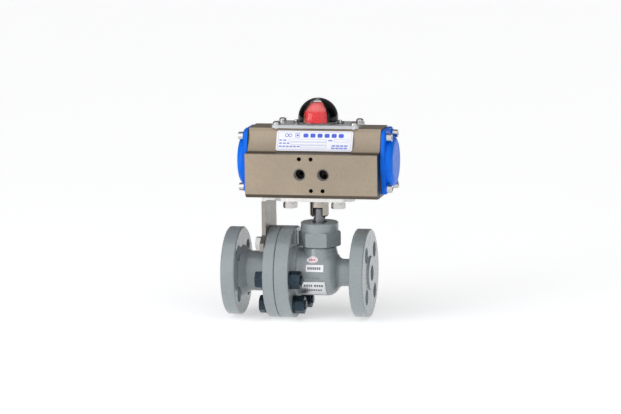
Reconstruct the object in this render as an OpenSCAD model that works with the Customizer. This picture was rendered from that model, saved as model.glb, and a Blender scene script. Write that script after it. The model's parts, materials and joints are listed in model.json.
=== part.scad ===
// Quarter-turn flanged ball valve with a double-acting rack and pinion pneumatic actuator.
// Units are millimetres. +X runs along the pipe from inlet to outlet, +Z runs up the stem.
// The origin is the centre of the inlet flange's raised face. The valve is drawn closed.

/* [Pipe flanges] */
// Distance between the two raised faces
face_to_face = 150; // [148:1:154]
// Distance from the inlet raised face to the stem axis
stem_x = 96; // [95:1:98]
// Outside diameter of each pipe flange
flange_d = 90; // [86:1:96]
// Thickness of each pipe flange without the raised face
flange_t = 14.3; // [12:0.1:15]
// Diameter of the raised sealing face
raised_d = 34.9; // [32:0.1:38]
// Height of the raised sealing face
raised_t = 1.6; // [1:0.1:2]
// Bolt circle diameter of each pipe flange
flange_pcd = 60.3; // [60:0.1:64]
// Diameter of the four bolt holes in each pipe flange
flange_hole_d = 15.9; // [13:0.1:16]
// Diameter of the waterway
waterway_d = 16; // [14:0.5:16.5]

/* [Valve body] */
// Outside diameter of the joint flanges that hold body and tail piece together
joint_d = 94; // [92:1:98]
// Bolt circle diameter of the joint flanges
joint_pcd = 72; // [71:0.5:73]
// Outside diameter of the body barrel
barrel_d = 48; // [47:0.5:49]
// Outside diameter of the outlet neck
outlet_neck_d = 28; // [26:1:30]
// Outside diameter of the inlet neck
inlet_neck_d = 41; // [39:0.5:41]
// Diameter of the ball
ball_d = 30; // [29.6:0.1:30]
// Diameter of the stem
stem_d = 12; // [11.6:0.1:12]
// Width across the flats of the packing nut
packing_nut_af = 38; // [37:0.5:38.5]

/* [Actuator] */
// Length of the actuator body without its caps
act_len = 135.8; // [134:0.2:140]
// Depth of the actuator body from front to back
act_depth = 81; // [81:0.5:84]
// Diameter of the cylinder bore
bore_d = 52; // [51.6:0.1:52]
// Height of the cylinder bore axis above the pipe axis
bore_z = 115.3; // [115:0.1:115.6]
// Height of the top face above the pipe axis
act_top = 149.8; // [149.4:0.1:150.4]
// Height of the bottom face above the pipe axis
act_bottom = 81.2; // [81:0.1:81.4]

/* [Drive] */
// Module of the rack and pinion teeth
gear_module = 1.5; // [1.5:0.1:1.5]
// Number of teeth on the pinion
pinion_teeth = 16; // [16:1:16]
// Pressure angle of the teeth
pressure_angle = 20; // [20:1:22]

/* [Position indicator] */
// Outside radius of the clear dome
dome_r = 20.5; // [20:0.1:21]
// Length of the clear base plate
plate_len = 90; // [88:1:92]

/* [Hidden] */
$fn = 96;
eps = 0.01;

// Distances along the pipe, measured from the stem axis
inlet_end = -stem_x;
outlet_end = face_to_face - stem_x;
joint_tail_x = -50.5;
joint_gap_x = -38.9;
joint_body_x = -38.5;
joint_back_x = -24;
hub_r = 29;

// Joint fasteners: four through bolts, and two screws that also hold the bracket
joint_r = joint_pcd / 2;
through_bolts = [for (a = [184.5, 240, 300, -4.5]) [joint_r * cos(a), joint_r * sin(a)]];
bracket_bolts = [for (a = [60, 120]) [joint_r * cos(a), joint_r * sin(a)]];
m10_r = 5;
m10_af = 16;
m10_head = 6.4;
m10_nut = 9.6;
m10_tip = 1.6;
head_turns = [-38, 0, 0, 0];
nut_turns = [-15, 0, 0, 0];
m10_washer = 2;
m8_r = 4;
m8_af = 13;
m8_head = 5.3;
m8_spring = 2.1;
clear_fit = 0.5;

// Stem and gland heights above the pipe axis
stem_r = stem_d / 2;
shoulder_z = 16.6;
shoulder_top = 20;
packing_z = 29;
bonnet_top = 44;
bonnet_foot_z = 11;
bonnet_foot_h = 15.5;
bonnet_r1 = 20.3;
bonnet_r2 = 17;
nut_z = 27.6;
nut_round_z = 42.7;
nut_top = 52.1;
tang_z = 56.5;
tang_top = 66.6;
slot_top = 67.5;
tang_t = 9.4;

// Bracket
bracket_t = 4;
bracket_top = act_bottom;
leg_x = joint_tail_x - bracket_t;

// Actuator
act_front = act_depth / 2;
cap_screw_y = 17;
cap_screw_dz = 26;
base_bolt = 49.5 / 2;
port_z = 105.3;
channel_y = 21.8;
channel_z = 96;
channel_r = 1.4;
ledge_z = 126.5;
cove_low = [28.2, 126.9];
cove_top = [18.8, 146.5];
cap_gasket_t = 0.8;
cap_plate_t = 4.2;
lower_hole_r = 13.7;
upper_hole_r = 10.6;
journal_r = 12;
upper_journal_r = 9;
fit_gap = 0.05;

// Rack and pinion
pitch_r = gear_module * pinion_teeth / 2;
outer_r = pitch_r + gear_module;
root_r = pitch_r - 1.25 * gear_module;
base_r = pitch_r * cos(pressure_angle);
rack_pitch = PI * gear_module;
gear_z = 104;
gear_t = 22.6;
rack_half = 8;
piston_in = 29;
piston_t = 13;
rack_tip = 26;
backlash = 0.12;

// Indicator
plate_t = 3.2;
plate_top = act_top + plate_t;
plate_holes = [for (x = [-40, 40], y = [-15, 15]) [x, y]];
ear_x = 22.6;
dome_z = 158.5;

module at_stem() { translate([stem_x, 0, 0]) children(); }

// Turns a shape drawn up +Z so that it runs along +X from distance x
module along_x(x) { translate([x, 0, 0]) rotate([0, 90, 0]) children(); }

// A revolved disc along X from x1 to x2 with a small chamfer on both rims
module rim_disc(x1, x2, r, c = 0.8) {
    along_x(x1) rotate_extrude()
        polygon([[0, 0], [r - c, 0], [r, c], [r, x2 - x1 - c], [r - c, x2 - x1], [0, x2 - x1]]);
}

// A drilled hole or a rod along X
module rod_x(x1, x2, r) { along_x(x1) cylinder(r = r, h = x2 - x1); }

// Copies a shape that lies along X to each [y, z] position
module at_yz(places) { for (p = places) translate([0, p[0], p[1]]) children(); }

module ring(r1, r2, h) {
    difference() {
        cylinder(r = r2, h = h);
        translate([0, 0, -1]) cylinder(r = r1, h = h + 2);
    }
}

// Hexagon with both end faces chamfered to a circle
module hexagon(af, h, c = 0.9) {
    r = af / 2 / cos(30);
    intersection() {
        cylinder(r = r, h = h, $fn = 6);
        rotate_extrude() polygon([[0, 0], [r - c, 0], [r, c * 0.58], [r, h - c * 0.58],
            [r - c, h], [0, h]]);
    }
}

module socket_screw(head_d, head_h, r, len, key) {
    difference() {
        union() {
            cylinder(d1 = head_d, d2 = head_d - 0.8, h = head_h);
            translate([0, 0, -len]) cylinder(r = r, h = len + eps);
        }
        translate([0, 0, head_h - 2.4]) cylinder(d = key / cos(30), h = 3, $fn = 6);
    }
}

// Screw with a low rounded head
module button_screw(head_d, head_h, r, len, key) {
    difference() {
        union() {
            cylinder(d = head_d, h = 0.45 * head_h);
            translate([0, 0, 0.45 * head_h]) cylinder(d1 = head_d, d2 = 0.86 * head_d, h = 0.3 * head_h);
            translate([0, 0, 0.75 * head_h])
                cylinder(d1 = 0.86 * head_d, d2 = 0.6 * head_d, h = 0.25 * head_h);
            translate([0, 0, -len]) cylinder(r = r, h = len + eps);
        }
        translate([0, 0, head_h - 1.6]) cylinder(d = key / cos(30), h = 3, $fn = 6);
    }
}

module spring_washer(r1, r2, h) {
    difference() {
        ring(r1, r2, h);
        translate([0, -0.5, -1]) rotate([0, 0, 8]) cube([r2 + 1, 1, h + 2]);
    }
}

// Four bolt holes at 45 degrees on the pipe flange bolt circle
module flange_holes(x) {
    for (a = [45:90:315])
        rotate([a, 0, 0]) translate([0, flange_pcd / 2, 0])
            rod_x(x - 1, x + flange_t + 1, flange_hole_d / 2);
}

module pipe_flange(x, face_dir) {
    rim_disc(x, x + flange_t, flange_d / 2, 1);
    if (face_dir > 0) rod_x(x + flange_t - 1, x + flange_t + raised_t, raised_d / 2);
    else rod_x(x - raised_t, x + 1, raised_d / 2);
}

// Half outline of the barrel and the outlet neck: radius across, distance along X upwards.
// A low hub stands on the joint flange, a convex shoulder runs into a concave throat, and a
// fillet meets the pipe flange.
module barrel_outline() {
    r = barrel_d / 2;
    neck = outlet_neck_d / 2;
    shoulder_r = 13;
    throat_r = 6;
    fillet_r = 3.5;
    start = 8;
    shoulder_c = r - shoulder_r;
    throat_c = neck + throat_r;
    throat_x = start + sqrt(pow(shoulder_r + throat_r, 2) - pow(throat_c - shoulder_c, 2));
    share = shoulder_r / (shoulder_r + throat_r);
    meet = [shoulder_c, start] + share * [throat_c - shoulder_c, throat_x - start];
    back = outlet_end - raised_t - flange_t;
    hub_end = joint_back_x + 3.3;
    polygon([[0, joint_back_x - 1], [hub_r, joint_back_x - 1], [hub_r, hub_end - 0.8],
        [hub_r - 0.8, hub_end], [0, hub_end]]);
    difference() {
        translate([0, hub_end - 1]) square([r + fillet_r, fillet_r + 1]);
        translate([r + fillet_r, hub_end + fillet_r]) circle(r = fillet_r);
    }
    translate([0, joint_back_x - 1]) square([r, start - joint_back_x + 1]);
    intersection() {
        translate([shoulder_c, start]) circle(r = shoulder_r);
        translate([0, start - 1]) square([r + 1, shoulder_r + 2]);
    }
    difference() {
        polygon([[0, start], [0, throat_x], [throat_c, throat_x], meet, [shoulder_c, start]]);
        translate([throat_c, throat_x]) circle(r = throat_r);
    }
    translate([0, start]) square([neck, back + 1 - start]);
    difference() {
        translate([0, back - fillet_r]) square([neck + fillet_r, fillet_r + 1]);
        translate([neck + fillet_r, back - fillet_r]) circle(r = fillet_r);
    }
}

module valve_body() {
    color([0.54, 0.57, 0.58]) at_stem() difference() {
        union() {
            rim_disc(joint_body_x, joint_back_x, joint_d / 2, 0.6);
            along_x(0) rotate_extrude() barrel_outline();
            pipe_flange(outlet_end - raised_t - flange_t, 1);
            translate([0, 0, bonnet_foot_z]) cylinder(r1 = bonnet_r1, r2 = bonnet_r2, h = bonnet_foot_h);
            cylinder(r = 15.8, h = bonnet_top);
            translate([joint_back_x - 1, -8.5, 20]) cube([2.5, 17, 25.6]);
        }
        rod_x(joint_body_x - 1, 9.2, 16);
        rod_x(8, 15.5, 12.25);
        rod_x(15, outlet_end + 1, waterway_d / 2);
        cylinder(r = 8.8, h = shoulder_top + 1.1);
        cylinder(r = stem_r + fit_gap, h = bonnet_top + 1);
        translate([0, 0, packing_z]) cylinder(r = 10, h = 20);
        flange_holes(outlet_end - raised_t - flange_t);
        at_yz(through_bolts) rod_x(joint_body_x - 1, joint_back_x + 1, m10_r + clear_fit);
        at_yz(through_bolts) rod_x(joint_back_x - eps, joint_back_x + 12, 9.6);
        at_yz(bracket_bolts) rod_x(joint_body_x - 1, joint_back_x + 1, m8_r + fit_gap);
        translate([0, 0, nut_z - 0.7]) ring(17.6, 22.7, 30);
    }
}

module tail_piece() {
    neck = inlet_neck_d / 2;
    back = inlet_end + raised_t + flange_t;
    color([0.52, 0.55, 0.56]) at_stem() difference() {
        union() {
            pipe_flange(inlet_end + raised_t, -1);
            along_x(back - 1) cylinder(r1 = 27.2, r2 = neck, h = 8.5);
            rod_x(back, joint_tail_x + 1, neck);
            rim_disc(joint_tail_x, joint_gap_x, joint_d / 2, 0.6);
            rod_x(joint_gap_x - 1, -9.5, 15.85);
        }
        rod_x(inlet_end - 1, -14, waterway_d / 2);
        rod_x(-15.5, -9, 12.25);
        flange_holes(inlet_end + raised_t);
        at_yz(through_bolts) rod_x(joint_tail_x - 1, joint_gap_x + 1, m10_r + clear_fit);
        at_yz(bracket_bolts) rod_x(joint_tail_x - 1, joint_gap_x + 1, m8_r + clear_fit);
    }
}

module joint_gasket() {
    color([0.12, 0.12, 0.13]) at_stem() along_x(joint_gap_x) ring(16.1, 29, joint_body_x - joint_gap_x);
}

module ball() {
    color([0.78, 0.79, 0.8]) at_stem() difference() {
        sphere(d = ball_d);
        rotate([90, 0, 0]) cylinder(d = waterway_d, h = ball_d + 2, center = true);
        translate([-ball_d / 2, -3, 9.8]) cube([ball_d, 6, ball_d]);
    }
}

module seat_ring() {
    difference() {
        rod_x(9.3, 15.45, 12.2);
        rod_x(9, 16, 8.4);
        sphere(d = ball_d + 0.18);
    }
}

module inlet_seat() { color([0.95, 0.95, 0.93]) at_stem() mirror([1, 0, 0]) seat_ring(); }

module outlet_seat() { color([0.95, 0.95, 0.93]) at_stem() seat_ring(); }

module stem() {
    color([0.45, 0.48, 0.5]) at_stem() difference() {
        union() {
            translate([0, 0, shoulder_z]) cylinder(r = 8.6, h = shoulder_top - shoulder_z);
            translate([0, 0, shoulder_top - 1]) cylinder(r = stem_r, h = tang_top - shoulder_top - 0.2);
            translate([0, 0, tang_top - 1.2]) cylinder(r1 = stem_r, r2 = stem_r - 0.8, h = 1.2);
            intersection() {
                translate([0, 0, 10.4]) cylinder(r = 7.6, h = 8);
                translate([-8, -2.9, 10.4]) cube([16, 5.8, 8]);
            }
        }
        for (s = [-1, 1])
            translate([s * (tang_t / 2 + 5), 0, tang_z + 10]) cube([10, 20, 20], center = true);
    }
}

module thrust_washer() {
    color([0.9, 0.88, 0.8]) at_stem() translate([0, 0, shoulder_top]) ring(stem_r + fit_gap, 8.6, 1);
}

module stem_packing() {
    color([0.93, 0.93, 0.9]) at_stem() for (i = [0:2])
        translate([0, 0, packing_z + i * 3]) ring(stem_r + fit_gap, 9.95, 2.95);
}

module gland_bush() {
    color([0.7, 0.71, 0.72]) at_stem() difference() {
        union() {
            translate([0, 0, packing_z + 9]) cylinder(r = 9.9, h = 7.4);
            translate([0, 0, bonnet_top + 0.4]) cylinder(r = 13.4, h = 1);
        }
        cylinder(r = stem_r + 0.1, h = 60);
    }
}

module packing_nut() {
    color([0.56, 0.59, 0.6]) at_stem() difference() {
        union() {
            translate([0, 0, nut_z]) hexagon(packing_nut_af, nut_round_z - nut_z, 1.6);
            translate([0, 0, nut_round_z - 1]) cylinder(r = 19.3, h = nut_top - nut_round_z);
            translate([0, 0, nut_top - 1]) cylinder(r1 = 19.3, r2 = 18.3, h = 1);
        }
        translate([0, 0, nut_z - 1]) cylinder(r = 15.85, h = bonnet_top + 1.45 - nut_z + 1);
        cylinder(r = 8, h = 60);
    }
}

module joint_bolts() {
    tip = joint_back_x + m10_washer + m10_nut + m10_tip;
    color([0.1, 0.13, 0.16]) at_stem() for (i = [0:3]) at_yz([through_bolts[i]]) {
        along_x(joint_tail_x - m10_washer - m10_head) rotate([0, 0, head_turns[i]])
            hexagon(m10_af, m10_head, 0.8);
        rod_x(joint_tail_x - m10_washer - 1, tip - 0.8, m10_r);
        along_x(tip - 0.8) cylinder(r1 = m10_r, r2 = m10_r - 0.8, h = 0.8);
    }
}

module joint_washers() {
    color([0.15, 0.17, 0.2]) at_stem() at_yz(through_bolts) {
        along_x(joint_tail_x - m10_washer) ring(m10_r + 0.2, 9.3, m10_washer);
        along_x(joint_back_x) ring(m10_r + 0.2, 9.3, m10_washer);
    }
}

module joint_nuts() {
    color([0.1, 0.13, 0.16]) at_stem() for (i = [0:3]) at_yz([through_bolts[i]])
        along_x(joint_back_x + m10_washer) rotate([0, 0, nut_turns[i]]) difference() {
            hexagon(m10_af, m10_nut, 0.9);
            translate([0, 0, -1]) cylinder(r = m10_r + 0.02, h = m10_nut + 2);
        }
}

module bracket_screws() {
    color([0.75, 0.75, 0.74]) at_stem() at_yz(bracket_bolts) {
        along_x(leg_x - m8_spring - m8_head) rotate([0, 0, 30]) hexagon(m8_af, m8_head, 0.7);
        rod_x(leg_x - m8_spring - 1, joint_back_x - 0.3, m8_r);
    }
}

module bracket_spring_washers() {
    color([0.7, 0.7, 0.7]) at_stem() at_yz(bracket_bolts)
        along_x(leg_x - m8_spring) spring_washer(m8_r + 0.2, 6.6, m8_spring);
}

// Bent sheet bracket: a foot bolted to the joint flange and a plate under the actuator
module mounting_bracket() {
    bend = 6;
    leg_w = 52;
    foot_w = 74;
    foot_z = 23;
    foot_top = 37;
    plate_w = 68;
    plate_x = 33;
    z1 = bracket_top - bracket_t;
    color([0.72, 0.71, 0.69]) at_stem() difference() {
        union() {
            translate([leg_x, -leg_w / 2, foot_top]) cube([bracket_t, leg_w, bracket_top - bend - foot_top]);
            translate([leg_x, 0, 0]) rotate([90, 0, 90]) linear_extrude(bracket_t)
                polygon([[-foot_w / 2 + 3, foot_z], [foot_w / 2 - 3, foot_z], [foot_w / 2, foot_z + 3],
                    [foot_w / 2, foot_top - 3], [leg_w / 2, foot_top + 4], [-leg_w / 2, foot_top + 4],
                    [-foot_w / 2, foot_top - 3], [-foot_w / 2, foot_z + 3]]);
            translate([leg_x + bend, leg_w / 2, bracket_top - bend]) rotate([90, 0, 0])
                linear_extrude(leg_w) difference() {
                    intersection() {
                        circle(r = bend);
                        translate([-bend, 0]) square([bend, bend]);
                    }
                    circle(r = bend - bracket_t);
                }
            translate([leg_x + bend, -leg_w / 2, z1]) cube([20, leg_w, bracket_t]);
            translate([0, 0, z1]) linear_extrude(bracket_t)
                polygon([[leg_x + bend + 8, -leg_w / 2], [leg_x + bend + 16, -plate_w / 2],
                    [plate_x - 2, -plate_w / 2], [plate_x, -plate_w / 2 + 2], [plate_x, plate_w / 2 - 2],
                    [plate_x - 2, plate_w / 2], [leg_x + bend + 16, plate_w / 2],
                    [leg_x + bend + 8, leg_w / 2]]);
        }
        translate([0, 0, z1 - 1]) cylinder(r = 18, h = bracket_t + 2);
        at_yz(bracket_bolts) rod_x(leg_x - 1, leg_x + bracket_t + 1, m8_r + clear_fit);
        for (x = [-base_bolt, base_bolt], y = [-base_bolt, base_bolt])
            translate([x, y, z1 - 1]) cylinder(r = m8_r + clear_fit, h = bracket_t + 2);
    }
}

module base_screws() {
    z = bracket_top - bracket_t - m8_spring;
    color([0.78, 0.78, 0.77]) at_stem() for (x = [-base_bolt, base_bolt], y = [-base_bolt, base_bolt])
        translate([x, y, z]) {
            translate([0, 0, -m8_head]) hexagon(m8_af, m8_head, 0.7);
            translate([0, 0, -1]) cylinder(r = m8_r, h = 17);
        }
}

module base_spring_washers() {
    z = bracket_top - bracket_t - m8_spring;
    color([0.7, 0.7, 0.7]) at_stem() for (x = [-base_bolt, base_bolt], y = [-base_bolt, base_bolt])
        translate([x, y, z]) spring_washer(m8_r + 0.2, 6.6, m8_spring);
}

// Slotted sleeve between the stem's flats and the pinion's square socket
module drive_coupling() {
    r = 9.7;
    color([0.72, 0.68, 0.62]) at_stem() difference() {
        union() {
            translate([0, 0, 57.6]) cylinder(r1 = r - 1.7, r2 = r, h = 1.7);
            translate([0, 0, 59.3]) cylinder(r = r, h = 20.5);
            translate([-5.5, -5.5, 79]) cube([11, 11, 12]);
        }
        translate([0, 0, 57]) cylinder(r = stem_r + 0.1, h = slot_top - 57);
        translate([-tang_t / 2 - 0.4, -12, 57]) cube([tang_t + 0.8, 24, slot_top - 57]);
    }
}

// Outline of the actuator section, drawn with Y across and Z up. A hollow cove runs along
// each upper side, down to a ledge on top of the deeper lower block.
module act_section() {
    y = act_front;
    bevel = 3.8;
    front = [[-y + bevel, act_bottom], [-y, act_bottom + bevel], [-y, ledge_z - 0.9],
        [-y + 0.9, ledge_z], [-cove_low[0] - 0.4, ledge_z], [-cove_low[0], cove_low[1]],
        [-cove_top[0], cove_top[1]], [-cove_top[0] + 1.8, act_top]];
    run = cove_top - cove_low;
    along = run / norm(run);
    out = [along[1], -along[0]];
    sag = 1.7;
    cove_r = pow(norm(run), 2) / (8 * sag) + sag / 2;
    centre = (cove_top + cove_low) / 2 + (cove_r - sag) * out;
    reach = 4;
    window = [cove_low - reach * out, cove_low + reach * out, cove_top + reach * out,
        cove_top - reach * out];
    difference() {
        polygon(concat(front, [for (i = [len(front) - 1:-1:0]) [-front[i][0], front[i][1]]]));
        for (s = [-1, 1]) intersection() {
            translate([s * centre[0], centre[1]]) circle(r = cove_r);
            polygon([for (p = window) [s * p[0], p[1]]]);
        }
    }
}

// Sweeps the actuator section along X from x1 to x2
module act_prism(x1, x2) {
    translate([x1, 0, 0]) rotate([90, 0, 90]) linear_extrude(x2 - x1) act_section();
}

// Points where the straight line along the left of two circles touches each of them
function tangent(c1, r1, c2, r2) =
    let (d = c2 - c1, a = atan2(d[1], d[0]) + acos((r1 - r2) / norm(d)))
    [c1 + r1 * [cos(a), sin(a)], c2 + r2 * [cos(a), sin(a)]];

// Plate in the shape of the end caps, from x1 to x2: a round middle with rounded corners over
// the four screws
module cap_prism(x1, x2, grow = 0, corner_grow = 0) {
    mid_r = 28.3 + grow;
    top_r = 6.1 + grow + corner_grow;
    low_r = 5.8 + grow;
    in = 0.06;
    top_c = [cap_screw_y - 0.8, bore_z + cap_screw_dz + 1.1];
    low_c = [cap_screw_y, bore_z - cap_screw_dz];
    mid_c = [0, bore_z];
    upper = tangent(top_c, top_r - in, mid_c, mid_r - in);
    lower = tangent(mid_c, mid_r - in, low_c, low_r - in);
    half = [[top_c[0], top_c[1] + top_r - in], each upper, each lower, [low_c[0], low_c[1] - low_r + in]];
    translate([0, 0, bore_z]) rod_x(x1, x2, mid_r);
    for (s = [-1, 1]) {
        translate([0, s * top_c[0], top_c[1]]) rod_x(x1, x2, top_r);
        translate([0, s * low_c[0], low_c[1]]) rod_x(x1, x2, low_r);
    }
    translate([x1, 0, 0]) rotate([90, 0, 90]) linear_extrude(x2 - x1)
        polygon(concat(half, [for (i = [len(half) - 1:-1:0]) [-half[i][0], half[i][1]]]));
}

cap_screws = [for (y = [-cap_screw_y, cap_screw_y], dz = [-cap_screw_dz, cap_screw_dz]) [y, bore_z + dz]];

module actuator_body() {
    half = act_len / 2;
    color([0.6, 0.54, 0.47]) at_stem() difference() {
        act_prism(-half, half);
        translate([0, 0, bore_z]) rod_x(-half - 1, half + 1, bore_d / 2);
        // Pinion bearings at the bottom and the top
        translate([0, 0, act_bottom - 1]) cylinder(r = journal_r + fit_gap, h = 20);
        translate([0, 0, act_bottom + 3.4]) cylinder(r = lower_hole_r, h = 12);
        translate([0, 0, act_top - 20]) cylinder(r = upper_journal_r + fit_gap, h = 25);
        translate([0, 0, act_top - 20]) cylinder(r = upper_hole_r, h = 16.2);
        // Air ports on the front face with their fixing holes
        for (x = [-12, 12]) translate([x, -act_front, port_z]) {
            rotate([-90, 0, 0]) translate([0, 0, -1]) cylinder(r = 5.72, h = 13);
            rotate([-90, 0, 0]) translate([0, 0, -eps]) cylinder(r1 = 6.9, r2 = 5.7, h = 1.2);
        }
        for (p = [[-12, 16], [0, 16], [0, -16], [12, -16]])
            translate([p[0], -act_front - 1, port_z + p[1]]) rotate([-90, 0, 0]) cylinder(r = 2.1, h = 9);
        // The left port feeds the space between the pistons
        translate([-12, -act_front + 5, port_z]) rotate([-90, 0, 0]) cylinder(r = 2, h = 16);
        // The right port feeds both ends through one long channel
        translate([12, -channel_y - 8.7, channel_z + 8.7]) rotate([225, 0, 0])
            cylinder(r = channel_r, h = 12.3);
        translate([0, -channel_y, channel_z]) rod_x(-half - 1, half + 1, channel_r);
        // Threaded holes for base screws, top screws and cap screws
        for (x = [-base_bolt, base_bolt], y = [-base_bolt, base_bolt])
            translate([x, y, act_bottom - 1]) cylinder(r = m8_r + fit_gap, h = 13);
        for (p = plate_holes) translate([p[0], p[1], act_top - 8]) cylinder(r = 2.55, h = 9);
        at_yz(cap_screws) for (s = [-1, 1])
            rod_x(s > 0 ? half - 16 : -half - 1, s > 0 ? half + 1 : -half + 16, 2.55);
    }
}

// Domed cast cover with a pocket for the piston and four raised screw pads, for the right end
module end_cap() {
    x0 = act_len / 2 + cap_gasket_t;
    x1 = x0 + cap_plate_t;
    color([0.08, 0.3, 0.88]) at_stem() difference() {
        union() {
            cap_prism(x0, x1 - 0.6);
            cap_prism(x1 - 0.6 - eps, x1, -0.5);
            translate([0, 0, bore_z]) along_x(x1 - 0.5) rotate_extrude() difference() {
                square([26.2, 7.8]);
                difference() {
                    translate([20.2, 1.8]) square([8, 8]);
                    translate([20.2, 1.8]) circle(r = 6);
                }
            }
            at_yz(cap_screws) rod_x(x1 - 0.5, x1 + 1, 4.8);
        }
        translate([0, 0, bore_z]) rod_x(x0 - 1, x0 + 7, 20);
        at_yz(cap_screws) rod_x(x0 - 1, x1 + 2, 2.8);
        // Air slot from the body's channel to the cylinder
        translate([x0 - 1, -channel_y - channel_r, channel_z - channel_r]) cube([2.6, 9.2, 2 * channel_r]);
    }
}

module right_end_cap() { end_cap(); }

module left_end_cap() { translate([2 * stem_x, 0, 0]) mirror([1, 0, 0]) end_cap(); }

module cap_gasket() {
    x0 = act_len / 2;
    color([0.1, 0.1, 0.1]) at_stem() difference() {
        cap_prism(x0, x0 + cap_gasket_t, -0.3, -0.8);
        translate([0, 0, bore_z]) rod_x(x0 - 1, x0 + 2, bore_d / 2);
        at_yz(cap_screws) rod_x(x0 - 1, x0 + 2, 2.8);
        translate([0, -channel_y, channel_z]) rod_x(x0 - 1, x0 + 2, channel_r);
    }
}

module right_cap_gasket() { cap_gasket(); }

module left_cap_gasket() { translate([2 * stem_x, 0, 0]) mirror([1, 0, 0]) cap_gasket(); }

module cap_screw_set() {
    seat = act_len / 2 + cap_gasket_t + cap_plate_t + 1;
    color([0.8, 0.8, 0.79]) at_stem() at_yz(cap_screws) along_x(seat) socket_screw(8.5, 5, 2.5, 18, 4);
}

module right_cap_screws() { cap_screw_set(); }

module left_cap_screws() { translate([2 * stem_x, 0, 0]) mirror([1, 0, 0]) cap_screw_set(); }

// Straight-sided rack teeth along X with a gap centred on the stem axis, tips towards +Y
module rack_teeth(x1, x2) {
    add = 0.9 * gear_module;
    ded = 1.25 * gear_module;
    flank = tan(pressure_angle);
    half = rack_pitch / 4 - backlash / 2;
    first = ceil((x1 + half) / rack_pitch - 0.5);
    last = floor((x2 - half) / rack_pitch - 0.5);
    for (i = [first:last]) translate([(i + 0.5) * rack_pitch, 0])
        polygon([[-half - (ded + 0.2) * flank, -ded - 0.2], [-half + add * flank, add],
            [half - add * flank, add], [half + (ded + 0.2) * flank, -ded - 0.2]]);
}

// Right piston: a disc with a rack arm along its front side that passes the pinion
module piston() {
    arm_y = 21;
    color([0.7, 0.71, 0.73]) at_stem() translate([0, 0, bore_z]) {
        difference() {
            rod_x(piston_in, piston_in + piston_t, bore_d / 2 - fit_gap - 0.03);
            along_x(piston_in + 2) ring(24.3, 28, 4.2);
            along_x(piston_in + 8) ring(23.4, 28, 2.9);
            rod_x(piston_in + 6, piston_in + piston_t + 1, 12);
        }
        translate([-rack_tip, -arm_y, -rack_half])
            cube([rack_tip + piston_in + 1, arm_y - pitch_r - 1.25 * gear_module, 2 * rack_half]);
        translate([0, -pitch_r, -rack_half]) linear_extrude(2 * rack_half) rack_teeth(-rack_tip, 22);
    }
}

module right_piston() { piston(); }

module left_piston() { translate([2 * stem_x, 0, 0]) rotate_half() piston(); }

// Half a turn about the vertical axis through the origin
module rotate_half() { rotate([0, 0, 180]) children(); }

module piston_seal() {
    color([0.08, 0.08, 0.09]) at_stem() translate([0, 0, bore_z]) along_x(piston_in + 8.1)
        ring(23.42, bore_d / 2 - 0.04, 2.7);
}

module right_piston_seal() { piston_seal(); }

module left_piston_seal() { translate([2 * stem_x, 0, 0]) rotate_half() piston_seal(); }

module guide_ring() {
    color([0.85, 0.82, 0.7]) at_stem() translate([0, 0, bore_z]) along_x(piston_in + 2.1)
        ring(24.32, bore_d / 2 - 0.04, 4);
}

module right_guide_ring() { guide_ring(); }

module left_guide_ring() { translate([2 * stem_x, 0, 0]) rotate_half() guide_ring(); }

// Plastic pad that backs the rack arm against the cylinder wall
module rack_pad() {
    color([0.85, 0.82, 0.7]) at_stem() translate([0, 0, bore_z]) intersection() {
        translate([-20, -26, -7]) cube([30, 5, 14]);
        rod_x(-20, 10, bore_d / 2 - 0.06);
    }
}

module right_rack_pad() { rack_pad(); }

module left_rack_pad() { translate([2 * stem_x, 0, 0]) rotate_half() rack_pad(); }

function involute(a) = tan(a) - a * PI / 180;

// Half of the tooth angle at radius r
function tooth_half(r) = 90 / pinion_teeth - backlash / 2 / pitch_r * 180 / PI
    + (involute(pressure_angle) - involute(acos(min(1, base_r / r)))) * 180 / PI;

module gear_outline() {
    steps = 4;
    radii = [for (i = [0:steps]) base_r + (outer_r - base_r) * i / steps];
    polygon([for (t = [0:pinion_teeth - 1]) let (mid = 90 + t * 360 / pinion_teeth)
        each concat(
            [root_r * [cos(mid - tooth_half(base_r)), sin(mid - tooth_half(base_r))]],
            [for (r = radii) r * [cos(mid - tooth_half(r)), sin(mid - tooth_half(r))]],
            [for (i = [steps:-1:0]) radii[i] * [cos(mid + tooth_half(radii[i])),
                sin(mid + tooth_half(radii[i]))]],
            [root_r * [cos(mid + tooth_half(base_r)), sin(mid + tooth_half(base_r))]])]);
}

module pinion() {
    color([0.62, 0.63, 0.64]) at_stem() difference() {
        union() {
            translate([0, 0, 80.2]) cylinder(r = journal_r, h = 9.6);
            translate([0, 0, 89]) cylinder(r = root_r - 0.1, h = 52);
            translate([0, 0, gear_z]) linear_extrude(gear_t) gear_outline();
            translate([0, 0, act_top - 9]) cylinder(r = upper_journal_r, h = 11.6);
            intersection() {
                translate([0, 0, act_top]) cylinder(r = 7.5, h = 12);
                translate([-6, -10, act_top]) cube([12, 20, 12]);
            }
        }
        translate([-5.6, -5.6, 79]) cube([11.2, 11.2, 13]);
        translate([0, 0, act_bottom + 0.5]) ring(10.6, 14, 2.3);
        translate([0, 0, act_top - 3.2]) ring(7.6, 12, 2.3);
        translate([0, 0, act_top + 1.05]) ring(8.1, 12, 1);
    }
}

module pinion_lower_bearing() {
    color([0.88, 0.86, 0.78]) at_stem() translate([0, 0, act_bottom + 3.5])
        ring(journal_r + fit_gap, lower_hole_r - 0.05, 4.3);
}

module pinion_upper_bearing() {
    color([0.88, 0.86, 0.78]) at_stem() translate([0, 0, act_top - 8.3])
        ring(upper_journal_r + fit_gap, upper_hole_r - 0.05, 4.4);
}

module pinion_seals() {
    color([0.08, 0.08, 0.09]) at_stem() {
        translate([0, 0, act_bottom + 0.6]) ring(10.62, journal_r, 2.1);
        translate([0, 0, act_top - 3.1]) ring(7.62, upper_journal_r, 2.1);
    }
}

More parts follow.
